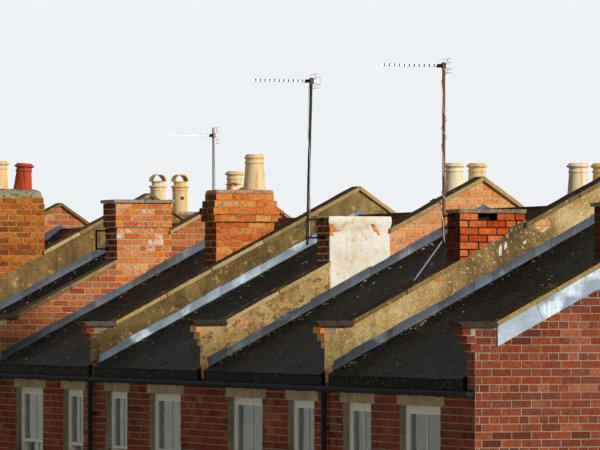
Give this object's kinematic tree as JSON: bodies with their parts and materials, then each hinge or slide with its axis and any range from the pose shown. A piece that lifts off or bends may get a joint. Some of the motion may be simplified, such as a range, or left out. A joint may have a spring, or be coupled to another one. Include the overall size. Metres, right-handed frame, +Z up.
{
  "type": "terraced house row",
  "caption": "Row of two-storey terraced houses with slated roofs between parapet party walls, stone copings and brick chimney stacks with clay pots.",
  "frame": {"origin": "on the ground under the middle of the row's outline", "axes": "+X along the row, away from the pictured end; -Y towards the street front; +Z up"},
  "size_m": [27.33, 7.395, 8.892],
  "materials": {
    "wall_brick": "weathered red stock brick",
    "stack_brick": "soft orange brick with lime mortar",
    "limewash": "limewashed render over brick",
    "sandstone": "weathered sandstone with lichen",
    "mortar": "lime mortar",
    "slate": "riven roofing slate",
    "floor_screed": "solid floor",
    "floor_boards": "floorboards on joists",
    "lead_sheet": "dull lead sheet",
    "red_terracotta": "unglazed red terracotta",
    "buff_terracotta": "buff fireclay",
    "mast_steel": "rusty steel tube",
    "aerial_aluminium": "weathered aluminium",
    "gutter_iron": "black painted cast iron",
    "painted_joinery": "white gloss paint on softwood",
    "painted_door": "dark gloss paint on softwood",
    "window_glass": "plain window glass"
  },
  "bodies": {
    "root": {"front_wall": "wall_brick", "rear_wall": "wall_brick", "party_wall_1": "wall_brick", "party_wall_2": "wall_brick", "party_wall_3": "wall_brick", "party_wall_4": "wall_brick", "party_wall_5": "wall_brick", "party_wall_6": "wall_brick", "party_wall_7": "wall_brick", "rear_stack_1": "stack_brick", "rear_stack_2": "stack_brick", "rear_stack_3": "limewash", "rear_stack_4": "stack_brick", "rear_stack_5": "stack_brick", "rear_stack_6": "stack_brick", "rear_stack_7": "stack_brick", "front_stacks": "stack_brick", "copings": "sandstone", "kneelers": "sandstone", "ground_floors": "floor_screed", "first_floors": "floor_boards", "rear_roof_slopes": "slate", "front_roof_slopes": "slate", "ridge_tiles": "red_terracotta", "flashings": "lead_sheet", "stack_caps": "sandstone", "flaunchings": "mortar", "pots_rear_4": "buff_terracotta", "vent_terminal": "red_terracotta", "pots_rear_6": "red_terracotta", "pots_front_2": "buff_terracotta", "pots_front_3": "buff_terracotta", "pots_front_4": "buff_terracotta", "pots_front_6": "buff_terracotta", "hooded_pots": "buff_terracotta", "aerial_masts": "mast_steel", "aerial_heads": "aerial_aluminium", "gutters": "gutter_iron", "downpipes": "gutter_iron", "window_frames": "painted_joinery", "window_glass": "window_glass", "doors": "painted_door", "door_frames": "painted_joinery", "stone_dressings": "sandstone", "doorsteps": "sandstone"}
  },
  "joints": []
}
